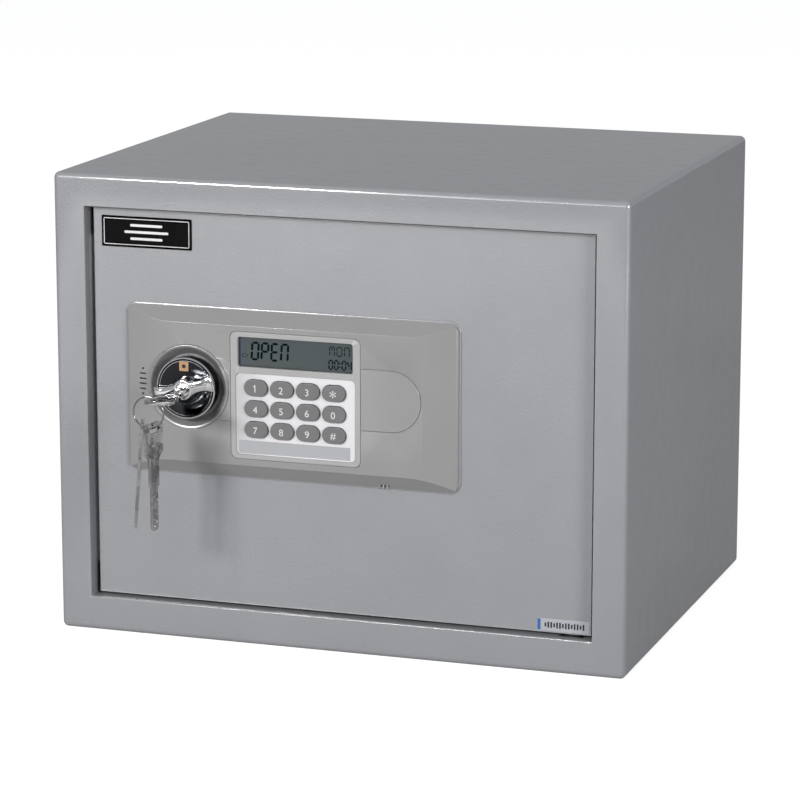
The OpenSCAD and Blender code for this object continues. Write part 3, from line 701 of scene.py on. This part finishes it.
def fine_key(node):
    """A key with drilled dimples along its blade and milled marks on its bow and neck."""
    obj = clean_copy(node, "key_steel")
    normal, along, wide = key_axes(obj.data)
    points = [v.co for v in obj.data.vertices]
    top = min(p.dot(along) for p in points)
    tip = max(p.dot(along) for p in points)
    faces = [p.dot(normal) for p in points]
    sides = [p.dot(wide) for p in points]
    middle_n, middle_w = (min(faces) + max(faces)) / 2, (min(sides) + max(sides)) / 2
    half = (max(faces) - min(faces)) / 2

    def spot(down, across, out):
        return along * (top + down) + wide * (middle_w + across) + normal * (middle_n + out)

    length = tip - top
    bm = bmesh.new()
    for side in (1, -1):
        for share, row in DIMPLES:
            across = row * side * DIMPLE_ROW
            add_rod(bm, spot(length * share, across, side * (half + 0.3 * MM)),
                    spot(length * share, across, side * (half - 0.45 * MM)),
                    DIMPLE_RADIUS, 20, 0.35 * MM)
    boolean(obj, bm)
    bm = bmesh.new()
    turn = Matrix((wide, along, normal)).transposed().to_4x4()
    for side in (1, -1):
        for share, across, w, h in BOW_MARKS + NECK_MARKS:
            place = Matrix.Translation(spot(length * share, across * MM, side * half)) @ turn
            size = Matrix.Diagonal((w * MM, h * MM, MARK_DEPTH, 1))
            bmesh.ops.create_cube(bm, size=1, matrix=place @ size)
    boolean(obj, bm)
    bevel(obj, 0.3, 2, 40)
    return settle(obj, BODY_OF[node], "key_steel", node)


def key_ring():
    """A split ring: one flat wire wound a little more than twice."""
    low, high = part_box("key_ring")
    centre = (low + high) / 2
    wire = (high.y - low.y) / 2
    radius = (high.x - low.x) / 2 - wire
    bm = bmesh.new()
    steps, sides = 150, 12
    start = math.radians(200)
    rings = []
    for i in range(steps + 1):
        share = i / steps
        a = start + share * RING_TURNS * 2 * math.pi
        out = Vector((math.cos(a), 0, math.sin(a)))
        rise = (share - 0.5) * wire
        spot = centre + out * radius + Vector((0, rise, 0))
        thin = wire * 0.52
        rings.append([
            bm.verts.new(spot + out * thin * 1.35 * math.cos(2 * math.pi * k / sides)
                         + Vector((0, thin * math.sin(2 * math.pi * k / sides), 0)))
            for k in range(sides)
        ])
    for a, b in zip(rings, rings[1:]):
        for k in range(sides):
            m = (k + 1) % sides
            bm.faces.new((a[k], a[m], b[m], b[k]))
    bm.faces.new(rings[0])
    bm.faces.new(reversed(rings[-1]))
    settle(add_object("fine_key_ring", bm, "ring_steel", 50), "ring", "key_steel", "key_ring")


# ---------------------------------------------------------------- keypad and display

def glyph(name, text, size, centre, front, body, material, slot, thickness=0.05):
    """A generic keypad legend as a thin raised mesh that faces the front."""
    curve = bpy.data.curves.new(name, "FONT")
    curve.body = text
    curve.size = size * MM
    curve.align_x = "CENTER"
    curve.align_y = "CENTER"
    curve.extrude = thickness * MM
    curve.resolution_u = 4
    made = bpy.data.objects.new(name + "_curve", curve)
    scene.collection.objects.link(made)
    made.rotation_euler = (math.radians(90), 0, 0)
    bpy.context.view_layer.update()
    graph = bpy.context.evaluated_depsgraph_get()
    mesh = bpy.data.meshes.new_from_object(made.evaluated_get(graph))
    mesh.transform(made.matrix_world)
    bpy.data.objects.remove(made)
    middle = [(min(v.co[i] for v in mesh.vertices) + max(v.co[i] for v in mesh.vertices)) / 2
              for i in range(3)]
    target = (centre[0], front, centre[1])
    mesh.transform(Matrix.Translation([a - b for a, b in zip(target, middle)]))
    mesh.materials.clear()
    mesh.materials.append(MATERIALS[material])
    obj = bpy.data.objects.new(name, mesh)
    scene.collection.objects.link(obj)
    return settle(obj, body, slot)


LEGEND_SIZE = 6.3
STAR_SIZE = 10.5


def keypad():
    """The twelve keys, each with its generic legend."""
    legends = {"star": "*", "hash": "#"}
    for node in [n for n in frame["nodes"] if n.startswith("key_") and n != "key_ring"]:
        low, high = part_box(node)
        refine(node, 0.9, 4, degrees=50)
        name = node[len("key_"):]
        glyph("legend_" + name, legends.get(name, name), STAR_SIZE if name == "star" else LEGEND_SIZE,
              ((low.x + high.x) / 2 - 0.3 * MM, (low.z + high.z) / 2 - 0.5 * MM),
              low.y - 0.02 * MM, BODY_OF[node], "legend_white", SLOT_OF[node])
        if name == "1":
            # The flag at the top of the digit
            x, z = (low.x + high.x) / 2 - 0.3 * MM, (low.z + high.z) / 2 + 1.6 * MM
            bm = bmesh.new()
            add_prism(bm, [(x + 0.2 * MM, z + 0.1 * MM), (x - 1.2 * MM, z - 1.0 * MM),
                           (x - 1.2 * MM, z - 0.45 * MM), (x + 0.2 * MM, z + 0.7 * MM)],
                      low.y - 0.05 * MM, low.y + 0.03 * MM)
            settle(add_object("legend_1_flag", bm, "legend_white"), BODY_OF[node], SLOT_OF[node])


SEGMENTS = {
    "O": "abcdef", "P": "abefg", "E": "adefg", "N": "abcef", "0": "abcdef", "4": "bcfg",
    "M": "abcefm",
}
BARS = {
    "a": (0, 1, 1, 1), "b": (1, 0.5, 1, 1), "c": (1, 0, 1, 0.5), "d": (0, 0, 1, 0),
    "e": (0, 0, 0, 0.5), "f": (0, 0.5, 0, 1), "g": (0, 0.5, 1, 0.5), "m": (0.5, 0.55, 0.5, 0.92),
}


def segment_outlines(letters, x, z, width, height, gap, thick, slant=0.0):
    """Outlines of display segments, in (x, z) points, for a row of characters."""
    outlines = []
    half = thick / 2
    for letter in letters:
        if letter == ":":
            for dot in (z + height * 0.3, z + height * 0.7):
                outlines.append(box_outline(x - half, x + half, dot - half, dot + half))
            x += gap
            continue
        for key in SEGMENTS[letter]:
            u0, v0, u1, v1 = BARS[key]
            x0, x1, z0, z1 = x + u0 * width, x + u1 * width, z + v0 * height, z + v1 * height
            cut = thick * 0.62
            if v0 == v1:
                points = [(x0 + cut - half, z0), (x0 + cut, z0 + half), (x1 - cut, z0 + half),
                          (x1 - cut + half, z0), (x1 - cut, z0 - half), (x0 + cut, z0 - half)]
            else:
                points = [(x0, z0 + cut - half), (x0 + half, z0 + cut), (x0 + half, z1 - cut),
                          (x0, z1 - cut + half), (x0 - half, z1 - cut), (x0 - half, z0 + cut)]
            outlines.append([(px + slant * (pz - z), pz) for px, pz in points])
        x += width + gap
    return outlines


def show_segments(name, outlines, front, material):
    bm = bmesh.new()
    for outline in outlines:
        add_prism(bm, outline, front - 0.05 * MM, front + 0.02 * MM)
    settle(add_object(name, bm, material), "door", "lcd_face")


def display_contents():
    """A generic word, day, clock and battery sign, and the violet edge of the display."""
    low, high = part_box("lcd_panel")
    front = low.y
    x0, z0 = low.x, low.z
    word = segment_outlines("OPEN", x0 + 8.2 * MM, z0 + 4.6 * MM, 4.3 * MM, 10.6 * MM, 2.3 * MM,
                            1.5 * MM, 0.06)
    show_segments("display_word", word, front, "segment_black")
    clock = segment_outlines("00:04", x0 + 60.0 * MM, z0 + 1.6 * MM, 2.3 * MM, 5.6 * MM, 1.4 * MM,
                             0.9 * MM, 0.04)
    show_segments("display_clock", clock, front, "segment_black")
    day = segment_outlines("MON", x0 + 60.6 * MM, z0 + 10.2 * MM, 3.2 * MM, 5.6 * MM, 1.7 * MM,
                           0.75 * MM)
    show_segments("display_day", day, front, "segment_faint")
    sides = ((2.0, 5.0, 5.6, 5.95), (2.0, 5.0, 7.5, 7.85), (2.0, 2.35, 5.6, 7.85), (5.2, 5.8, 6.1, 7.3))
    cell = [box_outline(x0 + a * MM, x0 + b * MM, z0 + c * MM, z0 + d * MM) for a, b, c, d in sides]
    show_segments("display_cell", cell, front, "segment_faint")
    tint = [[(x0 + 0.1 * MM, z0 + 0.2 * MM), (x0 + 1.1 * MM, z0 + 0.2 * MM),
             (x0 + 1.0 * MM, high.z - 0.2 * MM), (x0 + 0.1 * MM, high.z - 0.2 * MM)]]
    show_segments("display_edge", tint, front, "tint_violet")


# ---------------------------------------------------------------- trim

def badge():
    """A blank badge: a thin border and three plain bars."""
    low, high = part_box("badge_plate")
    refine("badge_plate", 0.25)
    front = low.y
    bm = bmesh.new()
    inset, line = 1.5 * MM, 0.45 * MM
    x0, x1, z0, z1 = low.x + inset, high.x - inset, low.z + inset, high.z - inset
    for a, b, c, d in ((x0, x1, z0, z0 + line), (x0, x1, z1 - line, z1),
                       (x0, x0 + line, z0, z1), (x1 - line, x1, z0, z1)):
        add_prism(bm, box_outline(a, b, c, d), front - 0.08 * MM, front + 0.02 * MM)
    mid, centre = (z0 + z1) / 2, (x0 + x1) / 2
    for i in range(-1, 2):
        reach = 15 * MM - abs(i) * 4 * MM
        add_prism(bm, rounded_outline(centre - reach, centre + reach, mid + i * 4.3 * MM - 0.8 * MM,
                                      mid + i * 4.3 * MM + 0.8 * MM, 0.7 * MM),
                  front - 0.08 * MM, front + 0.02 * MM)
    settle(add_object("badge_lines", bm, "chrome"), "door", "badge_black")


def label():
    """A blank data label: a blue end and plain short bars."""
    low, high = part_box("data_label")
    refine("data_label", 0)
    bm = bmesh.new()
    front, back = low.y - 0.04 * MM, low.y + 0.02 * MM
    add_prism(bm, box_outline(low.x + 0.3 * MM, low.x + 2.4 * MM, low.z + 0.4 * MM, high.z - 0.4 * MM),
              front, back)
    settle(add_object("label_stripe", bm, "label_blue"), "door", "label_white")
    bm = bmesh.new()
    middle = (low.z + high.z) / 2
    for i in range(14):
        x = low.x + 5 * MM + i * 1.9 * MM
        tall = 1.9 * MM if i % 3 else 1.3 * MM
        add_prism(bm, box_outline(x, x + 1.1 * MM, middle - tall, middle + tall), front, back)
    settle(add_object("label_bars", bm, "slot_dark"), "door", "label_white")


def panel_lip():
    """The pressed edge of the door sheet that shows around the panel."""
    low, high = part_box("panel_housing")
    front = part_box("door_plate")[0].y
    bm = bmesh.new()
    add_prism(bm, rounded_outline(low.x - 1.1 * MM, high.x + 1.1 * MM, low.z - 1.1 * MM,
                                  high.z + 1.1 * MM, 8 * MM), front - 0.9 * MM, front + 0.5 * MM)
    lip = add_object("panel_lip", bm, "powder_coat")
    bm = bmesh.new()
    add_prism(bm, rounded_outline(low.x + 0.6 * MM, high.x - 0.6 * MM, low.z + 0.6 * MM,
                                  high.z - 0.6 * MM, 7 * MM), front - 2 * MM, front + 2 * MM)
    boolean(lip, bm)
    bevel(lip, 0.6, 3, 50)
    settle(lip, "door", "powder_coat")


# ---------------------------------------------------------------- setting

def studio():
    """A pale floor, a soft sky that looks white to the camera, and four soft lights."""
    bm = bmesh.new()
    bmesh.ops.create_grid(bm, x_segments=1, y_segments=1, size=14)
    floor = add_object("floor", bm, "floor_white")

    world = bpy.data.worlds.new("studio")
    world.use_nodes = True
    scene.world = world
    nodes, links = world.node_tree.nodes, world.node_tree.links
    light = nodes["Background"]
    light.inputs["Color"].default_value = (0.95, 0.97, 1, 1)
    light.inputs["Strength"].default_value = 0.36
    plain = nodes.new("ShaderNodeBackground")
    plain.inputs["Color"].default_value = (1, 1, 1, 1)
    plain.inputs["Strength"].default_value = 1.0
    path = nodes.new("ShaderNodeLightPath")
    mix = nodes.new("ShaderNodeMixShader")
    links.new(path.outputs["Is Camera Ray"], mix.inputs[0])
    links.new(light.outputs[0], mix.inputs[1])
    links.new(plain.outputs[0], mix.inputs[2])
    links.new(mix.outputs[0], nodes["World Output"].inputs["Surface"])

    # name, place, aim, width, height, power, colour
    lamps = [
        ("key_light", (-1.05, -2.25, 1.12), (0, -0.1, 0.15), 0.5, 0.34, 42, (1, 0.99, 0.98)),
        ("front_fill", (-0.4, -3.4, 1.0), (0, 0, 0.12), 2.2, 0.4, 9, (0.97, 0.985, 1)),
        ("top_fill", (0.0, 0.2, 3.4), (0, 0, 0), 3.0, 3.0, 2, (1, 0.97, 0.98)),
        ("right_fill", (2.6, -1.95, 0.9), (0, 0, 0.15), 1.1, 1.1, 52, (1, 0.98, 0.98)),
    ]
    for name, spot, aim, width, height, power, color in lamps:
        data = bpy.data.lights.new(name, "AREA")
        data.shape = "RECTANGLE"
        data.size, data.size_y = width, height
        data.energy = power
        data.color = color
        lamp = bpy.data.objects.new(name, data)
        scene.collection.objects.link(lamp)
        lamp.location = spot
        lamp.rotation_euler = (Vector(aim) - Vector(spot)).to_track_quat("-Z", "Y").to_euler()
    scene.view_settings.view_transform = "Standard"


# ---------------------------------------------------------------- build

MATERIALS = make_materials()
floor_shader = Shader("floor_white", (0.45, 0.45, 0.45), 0.85)
floor_shader.vary_roughness(floor_shader.noise(3, 2), 0.8, 0.9)
floor_shader.set("Emission Color", (1, 1, 1, 1))
seen = floor_shader.nodes.new("ShaderNodeLightPath").outputs["Is Camera Ray"]
floor_shader.links.new(floor_shader.ramp(seen, 0, 0.8, 0, 1),
                       floor_shader.bsdf.inputs["Emission Strength"])
MATERIALS["floor_white"] = floor_shader.material

make_camera()
safe_body()
turn_knob()
for node in ("lock_key", "spare_key_a", "spare_key_b"):
    fine_key(node)
key_ring()
keypad()
display_contents()
badge()
label()
panel_lip()
for node, obj in frame["nodes"].items():
    obj.data.materials.clear()
    obj.data.materials.append(MATERIALS[SLOT_OF[node]])

# Width of the soft edges of each node that keeps its CAD shape, in mm
BEVELS = {
    "door_pan": 0.6, "door_cover": 0.3, "lock_dish": 0.25,
    "blank_cover": 0.2, "keypad_bezel": 0.45, "keypad_plate": 0.12, "name_strip": 0.05,
    "lcd_lens": 0.15, "lcd_panel": 0.1, "back_panel": 0.4, "door_stop": 0.4, "floor_mat": 0.8,
    "hinge_brackets": 0.4, "hinge_pins": 0.5, "thrust_washer": 0.3, "hinge_blocks": 0.5,
    "bolt_bushes": 0.4, "guide_studs": 0.4, "solenoid": 0.4, "main_board": 0.2,
    "board_standoffs": 0.3, "battery_box": 0.4, "batteries": 0.5, "door_screws": 0.15,
    "knob_bush": 0.3, "keypad_mat": 0.2, "keypad_board": 0.15, "ribbon_cable": 0.2,
    "drive_cam": 0.4, "spindle_clip": 0.2, "lock_plug": 0.2,
    "bolt_carriage": 0.4, "lock_bolts": 1.0, "solenoid_plunger": 0.5, "reset_button": 0.5,
    "battery_lid": 0.5,
}
for node, width in BEVELS.items():
    refine(node, width)
refine("power_socket", 0.3, material="zinc_steel")
refine("panel_housing", 0.8, 3, degrees=11, flat=0.05)
refine("door_plate", 1.6, 4, grow=(0.5, 0.4))

studio()
